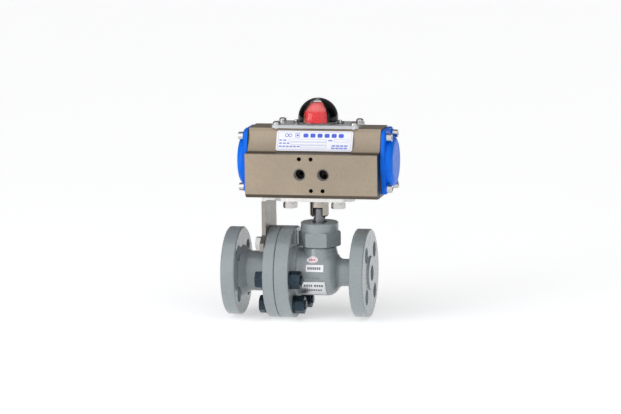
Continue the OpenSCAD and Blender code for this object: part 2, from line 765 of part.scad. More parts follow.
module pinion_thrust_washer() {
    color([0.85, 0.84, 0.78]) at_stem() translate([0, 0, act_top + 0.05])
        ring(upper_journal_r + fit_gap, 13, 0.9);
}

module pinion_circlip() {
    color([0.3, 0.3, 0.32]) at_stem() translate([0, 0, act_top + 1.1]) difference() {
        ring(8.15, 10.8, 0.9);
        translate([0, -1.5, -1]) cube([15, 3, 3]);
    }
}

// Outline of the clear plate with rounded corners
module plate_outline() {
    c = 5;
    w = 40;
    square([plate_len - 2 * c, w], center = true);
    square([plate_len, w - 2 * c], center = true);
    for (sx = [-1, 1], sy = [-1, 1]) translate([sx * (plate_len / 2 - c), sy * (w / 2 - c)]) circle(r = c);
}

module indicator_plate() {
    color([0.85, 0.88, 0.9, 0.5]) at_stem() difference() {
        union() {
            translate([0, 0, act_top]) linear_extrude(plate_t) plate_outline();
            translate([0, 0, act_top + 1]) cylinder(r = 18.6, h = plate_t - 1 + 0.6);
        }
        translate([0, 0, act_top - 1]) cylinder(r = 13.6, h = 8);
        for (p = plate_holes) translate([p[0], p[1], act_top - 1]) cylinder(r = 2.8, h = 8);
        for (x = [-ear_x, ear_x]) translate([x, 0, act_top + 1]) cylinder(r = 1.25, h = 8);
    }
}

module plate_screws() {
    color([0.8, 0.8, 0.79]) at_stem() for (p = plate_holes) translate([p[0], p[1], plate_top])
        button_screw(7.8, 3.4, 2.5, plate_t + 6, 3);
}

// Cap and hub that sit on the pinion's flats and carry the coloured markers
module indicator_rotor() {
    color([0.06, 0.06, 0.07]) at_stem() difference() {
        union() {
            translate([0, 0, 154.4]) cylinder(r = 11.4, h = 12.6);
            translate([0, 0, 167]) cylinder(r1 = 11.4, r2 = 5.5, h = 5.6);
        }
        translate([0, 0, 153]) intersection() {
            cylinder(r = 7.6, h = 9);
            translate([-6.1, -10, 0]) cube([12.2, 20, 9]);
        }
    }
}

// Quarter shell around the rotor, centred on the angle a
module marker(a) {
    rotate([0, 0, a - 45 + 0.2]) rotate_extrude(angle = 89.6)
        polygon([[11.5, 154.6], [16.6, 154.6], [16.6, 165.2], [8.2, 174.2], [6.2, 174.2],
            [6.2, 172.6], [11.5, 167]]);
}

module closed_markers() { color([0.88, 0.06, 0.1]) at_stem() for (a = [90, 270]) marker(a); }

module open_markers() { color([0.95, 0.8, 0.1]) at_stem() for (a = [0, 180]) marker(a); }

// Half outline of a dome's wall with a short straight skirt below it
module dome_outline(r1, r2, skirt) {
    intersection() {
        difference() {
            union() {
                circle(r = r2);
                translate([0, -skirt]) square([r2, skirt]);
            }
            circle(r = r1);
            translate([-1, -skirt - 1]) square([r1 + 1, skirt + 1]);
        }
        translate([0, -skirt]) square([r2 + 1, r2 + skirt + 1]);
    }
}

// Opaque liner inside the clear dome: two side shells joined by a cap over the pole,
// which leave a wedge-shaped window at the front and at the back
module indicator_mask() {
    side = 100;
    inner = 18.4;
    outer = 19.1;
    hub = 2.5;
    color([0.03, 0.03, 0.035]) at_stem() translate([0, 0, dome_z]) {
        for (a = [-side / 2, 180 - side / 2]) rotate([0, 0, a]) rotate_extrude(angle = side)
            intersection() {
                dome_outline(inner, outer, 3.1);
                translate([hub, -4]) square([outer, outer + 4]);
            }
        rotate_extrude() intersection() {
            dome_outline(inner + 0.15, outer - 0.15, 3);
            translate([0, 10]) square([hub + 0.9, outer]);
        }
    }
}

module indicator_dome() {
    wall = 1.3;
    rim_t = 2;
    drop = dome_z - plate_top;
    color([0.9, 0.93, 0.95, 0.35]) at_stem() difference() {
        union() {
            translate([0, 0, dome_z]) rotate_extrude() union() {
                dome_outline(dome_r - wall, dome_r, drop);
                translate([dome_r - wall / 2, -drop]) square([1.3 + wall / 2, rim_t]);
            }
            for (s = [-1, 1]) difference() {
                translate([s * ear_x, 0, plate_top]) cylinder(r = 4, h = rim_t);
                translate([0, 0, plate_top - 1]) cylinder(r = dome_r - wall / 2, h = rim_t + 2);
            }
        }
        for (s = [-1, 1]) translate([s * ear_x, 0, plate_top - 1]) cylinder(r = 1.5, h = 5);
    }
}

module dome_screws() {
    color([0.75, 0.75, 0.75]) at_stem() for (x = [-ear_x, ear_x]) translate([x, 0, plate_top + 2]) {
        difference() {
            cylinder(r1 = 2, r2 = 1.5, h = 1.6);
            translate([0, 0, 1.5]) cube([8, 0.6, 1.2], center = true);
        }
        translate([0, 0, -3.8]) cylinder(r = 1.2, h = 3.9);
    }
}

// Thin plate that bridges the cove on the actuator's front
module actuator_label() {
    side = cove_top - cove_low;
    along = side / norm(side);
    low = cove_low + 1.1 * along + 0.03 * [along[1], -along[0]];
    tilt = atan2(along[1], -along[0]);
    len = 21.3;
    color([0.93, 0.94, 0.97]) at_stem() translate([0.7, -low[0], low[1]])
        rotate([tilt, 0, 0]) translate([-39.3, 0, 0]) linear_extrude(0.5) difference() {
            square([78.6, len]);
            for (x = [0, 78.6], y = [0, len]) translate([x, y]) rotate([0, 0, 45]) square(2, center = true);
        }
}

// Piece of a thin skin on the barrel, from angle a1 to a2 above the front centre line
module barrel_skin(x1, x2, a1, a2, t) {
    r = barrel_d / 2;
    intersection() {
        difference() {
            rod_x(x1, x2, r + t + 0.03);
            rod_x(x1 - 1, x2 + 1, r + 0.03);
        }
        rotate([90, 0, 90]) translate([0, 0, -50]) linear_extrude(100)
            polygon([[0, 0], 60 * [-cos(a1), sin(a1)], 60 * [-cos(a2), sin(a2)]]);
    }
}

module valve_nameplate() { color([0.8, 0.8, 0.8]) at_stem() barrel_skin(-15, 9.5, -57, -15, 0.6); }

module plain_sticker() { color([0.96, 0.96, 0.96]) at_stem() barrel_skin(-10, 8, 9.5, 26.5, 0.15); }

// Outer surface of the barrel and the bonnet's foot, grown by t
module cast_skin(t) {
    rod_x(-15, 8, barrel_d / 2 + t);
    translate([0, 0, bonnet_foot_z]) cylinder(r1 = bonnet_r1 + t, r2 = bonnet_r2 + t, h = bonnet_foot_h);
}

module oval_sticker() {
    half_w = 5.9;
    half_h = 3.4;
    color([0.96, 0.94, 0.94]) at_stem() difference() {
        intersection() {
            translate([-4, -18.9, 15.4]) rotate([60, 0, 0]) translate([0, 0, -4]) linear_extrude(9)
                polygon([for (a = [0:12:348]) [half_w * cos(a), half_h * sin(a)]]);
            cast_skin(0.18);
        }
        cast_skin(0.03);
    }
}

valve_body();
tail_piece();
joint_gasket();
ball();
inlet_seat();
outlet_seat();
stem();
thrust_washer();
stem_packing();
gland_bush();
packing_nut();
joint_bolts();
joint_washers();
joint_nuts();
bracket_screws();
bracket_spring_washers();
mounting_bracket();
base_screws();
base_spring_washers();
drive_coupling();
actuator_body();
left_end_cap();
right_end_cap();
left_cap_gasket();
right_cap_gasket();
left_cap_screws();
right_cap_screws();
left_piston();
right_piston();
left_piston_seal();
right_piston_seal();
left_guide_ring();
right_guide_ring();
left_rack_pad();
right_rack_pad();
pinion();
pinion_lower_bearing();
pinion_upper_bearing();
pinion_seals();
pinion_thrust_washer();
pinion_circlip();
indicator_plate();
plate_screws();
indicator_rotor();
closed_markers();
open_markers();
indicator_mask();
indicator_dome();
dome_screws();
actuator_label();
valve_nameplate();
oval_sticker();
plain_sticker();
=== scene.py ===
import json
import math

import bmesh
import bpy
from mathutils import Matrix, Vector
from mathutils.bvhtree import BVHTree


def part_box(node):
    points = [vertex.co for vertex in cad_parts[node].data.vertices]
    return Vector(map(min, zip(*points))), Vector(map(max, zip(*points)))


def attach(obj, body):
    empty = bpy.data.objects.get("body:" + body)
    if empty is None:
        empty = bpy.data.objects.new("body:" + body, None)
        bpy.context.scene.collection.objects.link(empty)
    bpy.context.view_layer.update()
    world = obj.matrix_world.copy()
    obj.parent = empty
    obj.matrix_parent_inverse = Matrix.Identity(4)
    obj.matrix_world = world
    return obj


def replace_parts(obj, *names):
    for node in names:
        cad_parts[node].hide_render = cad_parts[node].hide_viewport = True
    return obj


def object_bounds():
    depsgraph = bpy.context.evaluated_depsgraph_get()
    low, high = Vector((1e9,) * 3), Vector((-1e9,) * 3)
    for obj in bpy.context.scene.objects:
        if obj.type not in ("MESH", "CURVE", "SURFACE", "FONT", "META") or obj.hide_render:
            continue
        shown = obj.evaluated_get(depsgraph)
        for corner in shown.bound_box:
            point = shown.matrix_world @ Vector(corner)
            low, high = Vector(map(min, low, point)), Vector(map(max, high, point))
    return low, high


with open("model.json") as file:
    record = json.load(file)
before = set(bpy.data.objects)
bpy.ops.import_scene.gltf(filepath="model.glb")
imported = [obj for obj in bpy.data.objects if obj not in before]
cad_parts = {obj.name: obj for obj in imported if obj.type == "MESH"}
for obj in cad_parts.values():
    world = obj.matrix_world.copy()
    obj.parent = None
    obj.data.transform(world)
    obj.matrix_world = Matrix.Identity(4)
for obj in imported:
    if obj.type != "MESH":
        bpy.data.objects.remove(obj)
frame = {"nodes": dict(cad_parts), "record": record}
cad_low, cad_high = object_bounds()
nodes = frame["nodes"]
MM = 0.001
STEM_X = 0.096          # stem axis, from the inlet face
HOUSING, DRIVE = "housing", "drive_train"


def at(x, y, z):
    """A point in millimetres from the stem axis and the pipe axis, as row metres."""
    return Vector((STEM_X + x * MM, y * MM, z * MM))


# ---------------------------------------------------------------- shader building blocks

class Shade:
    """A small writer of node materials. Coordinates are the object's own, in metres."""

    def __init__(self, name):
        self.mat = bpy.data.materials.new(name)
        self.mat.use_nodes = True
        self.tree = self.mat.node_tree
        self.tree.nodes.clear()
        self.out = self.node("ShaderNodeOutputMaterial")
        self.bsdf = self.node("ShaderNodeBsdfPrincipled")
        self.join(self.bsdf.outputs[0], self.out.inputs["Surface"])
        self.place = self.node("ShaderNodeTexCoord").outputs["Object"]
        self.normal = None

    def node(self, kind, **props):
        made = self.tree.nodes.new(kind)
        for key, value in props.items():
            setattr(made, key, value)
        return made

    def join(self, a, b):
        self.tree.links.new(a, b)

    def put(self, socket, value):
        if isinstance(value, bpy.types.NodeSocket):
            self.join(value, socket)
        else:
            socket.default_value = value

    def stretched(self, scale):
        m = self.node("ShaderNodeMapping")
        self.join(self.place, m.inputs["Vector"])
        m.inputs["Scale"].default_value = scale
        return m.outputs[0]

    def noise(self, scale, detail=3.0, rough=0.55, stretch=None, warp=0.0):
        n = self.node("ShaderNodeTexNoise")
        self.join(self.stretched(stretch) if stretch else self.place, n.inputs["Vector"])
        n.inputs["Scale"].default_value = scale
        n.inputs["Detail"].default_value = detail
        n.inputs["Roughness"].default_value = rough
        n.inputs["Distortion"].default_value = warp
        return n.outputs["Fac"]

    def cells(self, scale):
        n = self.node("ShaderNodeTexVoronoi")
        self.join(self.place, n.inputs["Vector"])
        n.inputs["Scale"].default_value = scale
        return n.outputs["Distance"]

    def fit(self, value, lo, hi, to_lo=0.0, to_hi=1.0):
        m = self.node("ShaderNodeMapRange")
        self.put(m.inputs["Value"], value)
        for key, number in zip(("From Min", "From Max", "To Min", "To Max"),
                               (lo, hi, to_lo, to_hi)):
            m.inputs[key].default_value = number
        return m.outputs[0]

    def cloud(self, scale, detail, to_lo=0.0, to_hi=1.0, rough=0.55):
        """Soft noise whose middle part is spread from to_lo to to_hi."""
        return self.fit(self.noise(scale, detail, rough), 0.3, 0.7, to_lo, to_hi)

    def math(self, op, a, b=0.0):
        m = self.node("ShaderNodeMath", operation=op)
        self.put(m.inputs[0], a)
        self.put(m.inputs[1], b)
        return m.outputs[0]

    def mix(self, fac, a, b):
        m = self.node("ShaderNodeMix", data_type="RGBA")
        self.put(m.inputs[0], fac)
        for socket, value in ((m.inputs[6], a), (m.inputs[7], b)):
            self.put(socket, value if isinstance(value, bpy.types.NodeSocket) else (*value, 1.0))
        return m.outputs[2]

    def bevelled(self, radius):
        """A normal that turns smoothly round every edge within this radius."""
        b = self.node("ShaderNodeBevel", samples=4)
        b.inputs["Radius"].default_value = radius
        return b.outputs[0]

    def rounded(self, radius):
        """Softens the look of every edge by this radius."""
        self.normal = self.bevelled(radius)

    def edges(self, radius):
        """1 along sharp edges, 0 elsewhere."""
        dot = self.node("ShaderNodeVectorMath", operation="DOT_PRODUCT")
        self.join(self.bevelled(radius), dot.inputs[0])
        self.join(self.node("ShaderNodeNewGeometry").outputs["Normal"], dot.inputs[1])
        return self.fit(dot.outputs["Value"], 0.98, 0.75)

    def wear(self, radius, scale, lo, hi, most):
        """Patchy rubbing along sharp edges, at most this strong."""
        patches = self.fit(self.noise(scale, 3), lo, hi)
        return self.math("MULTIPLY", self.math("MULTIPLY", self.edges(radius), patches), most)

    def bump(self, height, depth, strength=1.0):
        b = self.node("ShaderNodeBump")
        b.inputs["Strength"].default_value = strength
        b.inputs["Distance"].default_value = depth
        self.put(b.inputs["Height"], height)
        if self.normal is not None:
            self.join(self.normal, b.inputs["Normal"])
        self.normal = b.outputs[0]

    def axis(self, index):
        s = self.node("ShaderNodeSeparateXYZ")
        self.join(self.place, s.inputs[0])
        return s.outputs[index]

    def from_stem(self):
        """Distance along the pipe from the stem axis, either way."""
        return self.math("ABSOLUTE", self.math("SUBTRACT", self.axis(0), STEM_X))

    def inside(self, axis, centre, radius):
        """1 within a round hole along one axis, whose centre is given on the other two."""
        others = [i for i in range(3) if i != axis]
        gap = [self.math("POWER", self.math("SUBTRACT", self.axis(i), c), 2.0)
               for i, c in zip(others, centre)]
        reach = self.math("SQRT", self.math("ADD", *gap))
        return self.fit(reach, radius + 0.1 * MM, radius - 0.1 * MM)

    def either(self, masks):
        total = masks[0]
        for m in masks[1:]:
            total = self.math("MAXIMUM", total, m)
        return total

    def facing(self, index):
        """How squarely the surface faces along one axis, from 0 to 1."""
        n = self.node("ShaderNodeSeparateXYZ")
        self.join(self.node("ShaderNodeNewGeometry").outputs["Normal"], n.inputs[0])
        return self.math("ABSOLUTE", n.outputs[index])

    def done(self, colour, rough, metal=0.0, **extra):
        b = self.bsdf.inputs
        self.put(b["Base Color"], colour if isinstance(colour, bpy.types.NodeSocket)
                 else (*colour, 1.0))
        self.put(b["Roughness"], rough)
        b["Metallic"].default_value = metal
        for key, value in extra.items():
            b[key.replace("_", " ")].default_value = value
        if self.normal is not None:
            self.join(self.normal, b["Normal"])
        return self.mat


def scaled(colour, k):
    return tuple(min(1.0, c * k) for c in colour)


# ---------------------------------------------------------------- materials

def painted_casting(name, base):
    s = Shade(name)
    s.rounded(0.9 * MM)
    blotch = s.cloud(35, 4, rough=0.6)
    grain = s.noise(420, 3, 0.6)
    speck = s.fit(s.cells(1500), 0.0, 0.6)
    colour = s.mix(blotch, scaled(base, 0.96), scaled(base, 1.04))
    colour = s.mix(s.math("MULTIPLY", s.fit(grain, 0.35, 0.75), 0.12), colour, scaled(base, 0.70))
    fleck = s.fit(s.noise(1100, 2, 0.5), 0.60, 0.72, 0.0, 0.12)
    colour = s.mix(fleck, colour, scaled(base, 1.7))
    colour = s.mix(s.wear(0.7 * MM, 160, 0.42, 0.62, 0.45), colour, scaled(base, 1.6))
    rough = s.cloud(90, 4, 0.24, 0.32)
    s.bump(s.noise(110, 2, 0.4), 0.04 * MM, 0.10)
    s.bump(speck, 0.01 * MM, 0.06)
    return s.done(colour, rough, 0.0, Coat_Weight=0.4, Coat_Roughness=0.16,
                  Specular_IOR_Level=0.7)


# Places on the actuator's section, in millimetres
PORT_Z = 105.3
AIR_PORTS = [(x, PORT_Z) for x in (-12, 12)]
VALVE_HOLES = [(-12, PORT_Z + 16), (0, PORT_Z + 16), (0, PORT_Z - 16), (12, PORT_Z - 16)]
BEVEL_TOP = 84.9
LEDGE_FOOT, LEDGE_TOP = 126.2, 127.5
FRONT_FACE = -40.5
BORE_R = 26


def anodised(name, base):
    s = Shade(name)
    s.rounded(0.5 * MM)
    lines = s.noise(1.0, 4, 0.6, stretch=(12, 900, 900))
    colour = s.mix(s.fit(s.noise(22, 3, 0.5), 0.35, 0.65), scaled(base, 0.93), scaled(base, 1.05))
    colour = s.mix(s.fit(lines, 0.3, 0.7, 0.0, 0.08), colour, scaled(base, 0.78))
    colour = s.mix(s.fit(s.noise(900, 3, 0.7), 0.42, 0.7, 0.0, 0.5), colour, scaled(base, 0.68))
    # Painted shade: the lower bevel and the ledge under the cove are darkened where shade falls
    height = s.axis(2)
    ledge = s.math("MULTIPLY", s.fit(height, (LEDGE_FOOT - 0.2) * MM, (LEDGE_FOOT + 0.2) * MM),
                   s.fit(height, (LEDGE_TOP + 0.4) * MM, (LEDGE_TOP - 0.4) * MM))
    bevel = s.fit(height, (BEVEL_TOP + 0.2) * MM, (BEVEL_TOP - 0.2) * MM)
    painted_shade = s.math("MULTIPLY", s.either([bevel, ledge]), 0.72)
    colour = s.mix(painted_shade, colour, scaled(base, 0.16))
    colour = s.mix(s.wear(0.5 * MM, 120, 0.4, 0.6, 0.45), colour, (0.60, 0.55, 0.48))
    # The ports have bright cut chamfers, and below those the tapped holes are painted near black
    # as painted shade
    def drilled(places, radius):
        return [s.inside(1, (at(x, 0, z).x, z * MM), radius * MM) for x, z in places]

    depth = s.axis(1)
    front = s.fit(depth, -10 * MM, -12 * MM)
    chamfers = s.math("MULTIPLY", s.either(drilled(AIR_PORTS, 6.95)),
                      s.fit(depth, (FRONT_FACE + 0.02) * MM, (FRONT_FACE + 0.10) * MM))
    chamfers = s.math("MULTIPLY", chamfers, front)
    below = s.math("MULTIPLY", s.fit(depth, (FRONT_FACE + 0.9) * MM, (FRONT_FACE + 1.7) * MM),
                   front)
    holes = s.either(drilled(AIR_PORTS, 5.8) + drilled(VALVE_HOLES, 2.2))
    colour = s.mix(s.math("MULTIPLY", chamfers, 0.75), colour, (0.50, 0.46, 0.42))
    # Painted shade inside the tapped holes
    colour = s.mix(s.math("MULTIPLY", holes, below), colour, (0.016, 0.014, 0.012))
    # Painted shade: the end faces beside the bore are painted dark teal
    beside_bore = s.fit(s.math("ABSOLUTE", depth), (BORE_R - 0.4) * MM, (BORE_R + 0.4) * MM)
    shaded_ends = s.math("MULTIPLY", s.facing(0), beside_bore)
    colour = s.mix(s.fit(shaded_ends, 0.8, 0.95), colour, (0.006, 0.030, 0.042))
    rough = s.cloud(180, 3, 0.38, 0.48)
    s.bump(lines, 0.02 * MM, 0.25)
    s.bump(s.noise(2600, 2, 0.5), 0.012 * MM, 0.6)
    return s.done(colour, rough, 0.75)


def coating(name, base):
    s = Shade(name)
    s.rounded(0.7 * MM)
    colour = s.mix(s.cloud(60, 3), scaled(base, 0.85), scaled(base, 1.08))
    # The domed faces carry a fine cast texture, and its pebbles are painted a lighter blue as
    # painted highlights
    pebbles = s.noise(620, 4, 0.7)
    outer = s.fit(s.from_stem(), 75.5 * MM, 80.5 * MM)
    speck = s.math("MULTIPLY", s.fit(pebbles, 0.48, 0.66),
                   s.math("ADD", s.math("MULTIPLY", outer, 0.36), 0.05))
    colour = s.mix(speck, colour, (0.04, 0.30, 0.92))
    colour = s.mix(s.wear(0.6 * MM, 200, 0.5, 0.68, 0.35), colour, (0.30, 0.48, 0.92))
    rough = s.cloud(140, 3, 0.26, 0.42)
    s.bump(pebbles, 0.10 * MM, 0.6)
    return s.done(colour, rough, 0.0, Coat_Weight=0.05, Coat_Roughness=0.15,
                  Specular_IOR_Level=0.12)


def bare_metal(name, base, rough_lo, rough_hi, brush=(1, 1, 1), brush_scale=600.0,
               round_by=0.25, mark=0.5):
    s = Shade(name)
    s.rounded(round_by * MM)
    lines = s.noise(brush_scale, 4, 0.6, stretch=brush)
    colour = s.mix(s.cloud(70, 3), scaled(base, 0.88), scaled(base, 1.08))
    colour = s.mix(s.fit(lines, 0.3, 0.75, 0.0, 0.3), colour, scaled(base, 0.7))
    colour = s.mix(s.math("MULTIPLY", s.edges(0.35 * MM), mark), colour, scaled(base, 1.5))
    rough = s.fit(lines, 0.3, 0.7, rough_lo, rough_hi)
    s.bump(lines, 0.02 * MM, 0.4)
    return s.done(colour, rough, 1.0)


def plate_steel(name, base, bright):
    """Cold rolled bracket: a brushed grey leg, and a near-white head under the actuator, painted
    as a painted highlight.
    """
    s = Shade(name)
    s.rounded(0.4 * MM)
    lines = s.noise(6.0, 4, 0.6, stretch=(300, 18, 18))
    # Painted highlight: the plate under the actuator takes the bright colour
    head = s.fit(s.axis(2), 75.4 * MM, 76.4 * MM)
    colour = s.mix(head, base, bright)
    colour = s.mix(s.cloud(70, 3, 0.0, 0.16), colour, scaled(base, 0.7))
    colour = s.mix(s.fit(lines, 0.3, 0.75, 0.0, 0.2), colour, scaled(base, 0.75))
    scratches = s.fit(s.noise(3.0, 2, 0.5, stretch=(40, 40, 1400), warp=0.4), 0.62, 0.66, 0.0, 0.3)
    colour = s.mix(scratches, colour, (0.55, 0.54, 0.52))
    rough = s.fit(lines, 0.3, 0.7, 0.30, 0.46)
    s.bump(lines, 0.02 * MM, 0.4)
    return s.done(colour, rough, 0.9)


def oxide_steel(name):
    s = Shade(name)
    s.rounded(0.3 * MM)
    colour = s.mix(s.cloud(110, 4, rough=0.65), (0.012, 0.022, 0.032), (0.036, 0.060, 0.082))
    colour = s.mix(s.wear(0.45 * MM, 320, 0.4, 0.6, 0.6), colour, (0.22, 0.27, 0.31))
    rough = s.cloud(260, 4, 0.22, 0.38)
    s.bump(s.noise(700, 3), 0.03 * MM, 0.45)
    return s.done(colour, rough, 0.75, Specular_IOR_Level=0.5)


def moulded(name, base, rough_lo, rough_hi, coat=0.0):
    s = Shade(name)
    s.rounded(0.25 * MM)
    colour = s.mix(s.cloud(120, 3), scaled(base, 0.9), scaled(base, 1.08))
    rough = s.cloud(300, 3, rough_lo, rough_hi)
    s.bump(s.noise(900, 3, 0.6), 0.02 * MM, 0.45)
    return s.done(colour, rough, 0.0, Coat_Weight=coat, Coat_Roughness=0.08)


def facet_plastic(name, base, lit):
    """Translucent flag whose upper facets and side bands are painted lighter as painted
    highlights, with a faint painted glow from its own emission.
    """
    s = Shade(name)
    s.rounded(0.2 * MM)
    upper = s.fit(s.axis(2), 165.2 * MM, 167.5 * MM)
    band = s.fit(s.from_stem(), 3.4 * MM, 5.6 * MM)
    colour = s.mix(s.cloud(120, 3), scaled(base, 0.92), base)
    # Painted highlight: the side facets lighter, and the upper facets lighter still
    colour = s.mix(s.math("MULTIPLY", band, 0.12), colour, lit)
    colour = s.mix(s.math("MULTIPLY", upper, 0.75), colour, lit)
    # Painted glow: the flag emits its own colour faintly
    s.join(colour, s.bsdf.inputs["Emission Color"])
    rough = s.cloud(300, 3, 0.16, 0.26)
    s.bump(s.noise(900, 3, 0.6), 0.02 * MM, 0.4)
    return s.done(colour, rough, 0.0, Specular_IOR_Level=0.2, Emission_Strength=0.22)


def clear(name, tint, rough=0.03, through=1.0):
    s = Shade(name)
    smear = s.fit(s.noise(90, 3), 0.35, 0.75, rough, rough + 0.07)
    colour = s.mix(s.cloud(60, 2), tint, scaled(tint, 0.97))
    s.bump(s.noise(180, 2), 0.01 * MM, 0.3)
    return s.done(colour, smear, 0.0, Transmission_Weight=through, IOR=1.49)


def dome_plastic(name):
    """Clear dome, painted black inside except for the front and back windows."""
    s = Shade(name)
    half_window = s.math("MULTIPLY", s.math("ABSOLUTE", s.axis(1)), math.tan(math.radians(40)))
    edge = s.math("SUBTRACT", s.from_stem(), half_window)
    window = s.either([s.fit(edge, 0.15 * MM, -0.15 * MM),
                       s.fit(s.axis(2), 155.5 * MM, 155.2 * MM)])
    colour = s.mix(window, (0.0015, 0.0015, 0.002), (0.97, 0.98, 0.99))
    colour = s.mix(s.cloud(60, 2, 0.0, 0.03), colour, (0.5, 0.5, 0.5))
    smear = s.fit(s.noise(90, 3), 0.35, 0.75, 0.03, 0.09)
    s.bump(s.noise(180, 2), 0.01 * MM, 0.3)
    return s.done(colour, smear, 0.0, Transmission_Weight=1.0, IOR=1.35)


def paper(name, base):
    s = Shade(name)
    fibre = s.noise(1400, 3, 0.6)
    colour = s.mix(s.fit(fibre, 0.3, 0.7), scaled(base, 0.96), base)
    rough = s.cloud(200, 2, 0.3, 0.45)
    s.bump(fibre, 0.008 * MM, 0.3)
    return s.done(colour, rough, 0.0, Coat_Weight=0.3, Coat_Roughness=0.15)


GREY_PAINT = (0.250, 0.283, 0.297)
CHAMPAGNE = (0.372, 0.305, 0.232)

MATERIALS = {
    "painted_casting": painted_casting("paint_grey", GREY_PAINT),
    "polished_steel": bare_metal("steel_polished", (0.56, 0.54, 0.51), 0.12, 0.22),
    "stem_steel": bare_metal("steel_stem", (0.24, 0.25, 0.27), 0.34, 0.48, (1, 1, 12), 60),
    "stainless_steel": bare_metal("steel_bright", (0.60, 0.59, 0.575), 0.12, 0.26),
    # The bracket's second colour is a painted highlight on its upper plate
    "bracket_steel": plate_steel("steel_bracket", (0.300, 0.280, 0.255), (0.80, 0.79, 0.77)),
    "black_steel": oxide_steel("steel_oxide"),
    "bronze_anodised": anodised("anodised_champagne", CHAMPAGNE),
    "cast_aluminium": bare_metal("aluminium_cast", (0.60, 0.61, 0.62), 0.34, 0.5),
    "blue_coating": coating("coating_blue", (0.0, 0.150, 0.800)),
    "seal_rubber": moulded("rubber_black", (0.012, 0.012, 0.013), 0.55, 0.7),
    "white_polymer": moulded("polymer_white", (0.80, 0.80, 0.78), 0.35, 0.5),
    "bearing_polymer": moulded("polymer_bearing", (0.30, 0.26, 0.17), 0.4, 0.55),
    "black_plastic": moulded("plastic_black", (0.008, 0.009, 0.011), 0.12, 0.24, 0.6),
    # The red flag's lit colour is its painted highlight
    "red_plastic": facet_plastic("plastic_red", (0.86, 0.004, 0.012), (0.98, 0.20, 0.20)),
    "yellow_plastic": moulded("plastic_yellow", (0.83, 0.55, 0.02), 0.22, 0.34, 0.5),
    "clear_plastic": clear("plastic_clear", (0.93, 0.95, 0.97)),
    "white_label": paper("label_white", (0.86, 0.87, 0.92)),
    "nameplate_metal": bare_metal("plate_metal", (0.80, 0.82, 0.82), 0.28, 0.42,
                                  (12, 600, 600), 1.0, 0.15, 0.3),
}

# Nodes whose finish differs from the rest of their slot, such as the cloudy clear base plate, and
# the coupling, whose colour carries a painted reflection
BY_NODE = {
    "indicator_plate": clear("plastic_cloudy", (0.93, 0.95, 0.97), 0.10, 0.45),
    "indicator_dome": dome_plastic("plastic_dome"),
    # Painted reflection: the coupling's steel is darkened and tinted warm brown as a reflection of
    # the champagne actuator above it
    "drive_coupling": bare_metal("steel_coupling", (0.44, 0.405, 0.36), 0.18, 0.30,
                                 (1, 1, 14), 90, 0.3, 0.4),
    "indicator_mask": moulded("plastic_liner", (0.003, 0.0035, 0.004), 0.10, 0.2, 0.8),
}

for part in frame["record"]["subparts"]:
    data = nodes[part["node"]].data
    data.materials.clear()
    data.materials.append(BY_NODE.get(part["node"], MATERIALS[part["material_slot"]]))


# ---------------------------------------------------------------- mesh helpers

def piece(name, mesh, slot_name, body=HOUSING, material=None, smooth=None):
    """A new object of the assembly made from a bmesh."""
    data = bpy.data.meshes.new(name)
    mesh.normal_update()
    mesh.to_mesh(data)
    mesh.free()
    obj = bpy.data.objects.new(name, data)
    bpy.context.scene.collection.objects.link(obj)
    data.materials.append(material or MATERIALS[slot_name])
    if smooth is not None:
        data.shade_smooth()
        data.set_sharp_from_angle(angle=math.radians(smooth))
    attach(obj, body)
    return obj


def close(mesh, low, high):
    """Faces of a slab between two outlines of the same number of points."""
    n = len(low)
    mesh.faces.new(low[::-1])
    mesh.faces.new(high)
    for i in range(n):
        j = (i + 1) % n
        mesh.faces.new((low[i], low[j], high[j], high[i]))


def slab(mesh, corners, rise):
    """A closed slab between a convex outline and the same outline moved by rise."""
    low = [mesh.verts.new(c) for c in corners]
    high = [mesh.verts.new(Vector(c) + rise) for c in corners]
    close(mesh, low, high)


# ---------------------------------------------------------------- actuator label print

def rounded_rect(u0, v0, u1, v1, r, steps=4):
    r = min(r, (u1 - u0) / 2, (v1 - v0) / 2)
    points = []
    for cu, cv, start in ((u1 - r, v1 - r, 0), (u0 + r, v1 - r, 90),
                          (u0 + r, v0 + r, 180), (u1 - r, v0 + r, 270)):
        for k in range(steps + 1):
            a = math.radians(start + 90 * k / steps)
            points.append((cu + r * math.cos(a), cv + r * math.sin(a)))
    return points


class Sheet:
    """Flat print on a surface: place(u, v) gives a point and up the outward direction."""

    def __init__(self, place, up, thick=0.03 * MM):
        self.place, self.rise = place, Vector(up) * thick
        self.mesh = bmesh.new()

    def fill(self, points):
        slab(self.mesh, [self.place(u, v) for u, v in points], self.rise)

    def bar(self, u0, v0, u1, v1, r=0.15):
        self.fill(rounded_rect(u0, v0, u1, v1, r))

    def outline(self, u0, v0, u1, v1, line, r=0.6):
        outer = rounded_rect(u0, v0, u1, v1, r)
        inner = rounded_rect(u0 + line, v0 + line, u1 - line, v1 - line, max(r - line, 0.05))
        n = len(outer)
        for i in range(n):
            j = (i + 1) % n
            self.fill([outer[i], outer[j], inner[j], inner[i]])

    def ring(self, cu, cv, ru, rv, line, steps=28):
        at_angle = lambda k, d: (cu + (ru - d) * math.cos(2 * math.pi * k / steps),
                                 cv + (rv - d) * math.sin(2 * math.pi * k / steps))
        for k in range(steps):
            self.fill([at_angle(k, 0), at_angle(k + 1, 0), at_angle(k + 1, line),
                       at_angle(k, line)])


def pressed(node, origin, across, upward, lift=0.004):
    """Places flat print on a node's skin: (u, v) in millimetres from origin, dropped straight
    onto the first surface met from outside."""
    across, upward = Vector(across).normalized(), Vector(upward).normalized()
    inward = upward.cross(across)
    skin = BVHTree.FromObject(nodes[node], bpy.context.evaluated_depsgraph_get())
    into = nodes[node].matrix_world.inverted()

    def place(u, v):
        start = origin + (across * u + upward * v) * MM
        far = start - inward * 30 * MM
        hit = skin.ray_cast(into @ far, inward)[0]
        return (nodes[node].matrix_world @ hit if hit else start) - inward * lift * MM
    return place, -inward


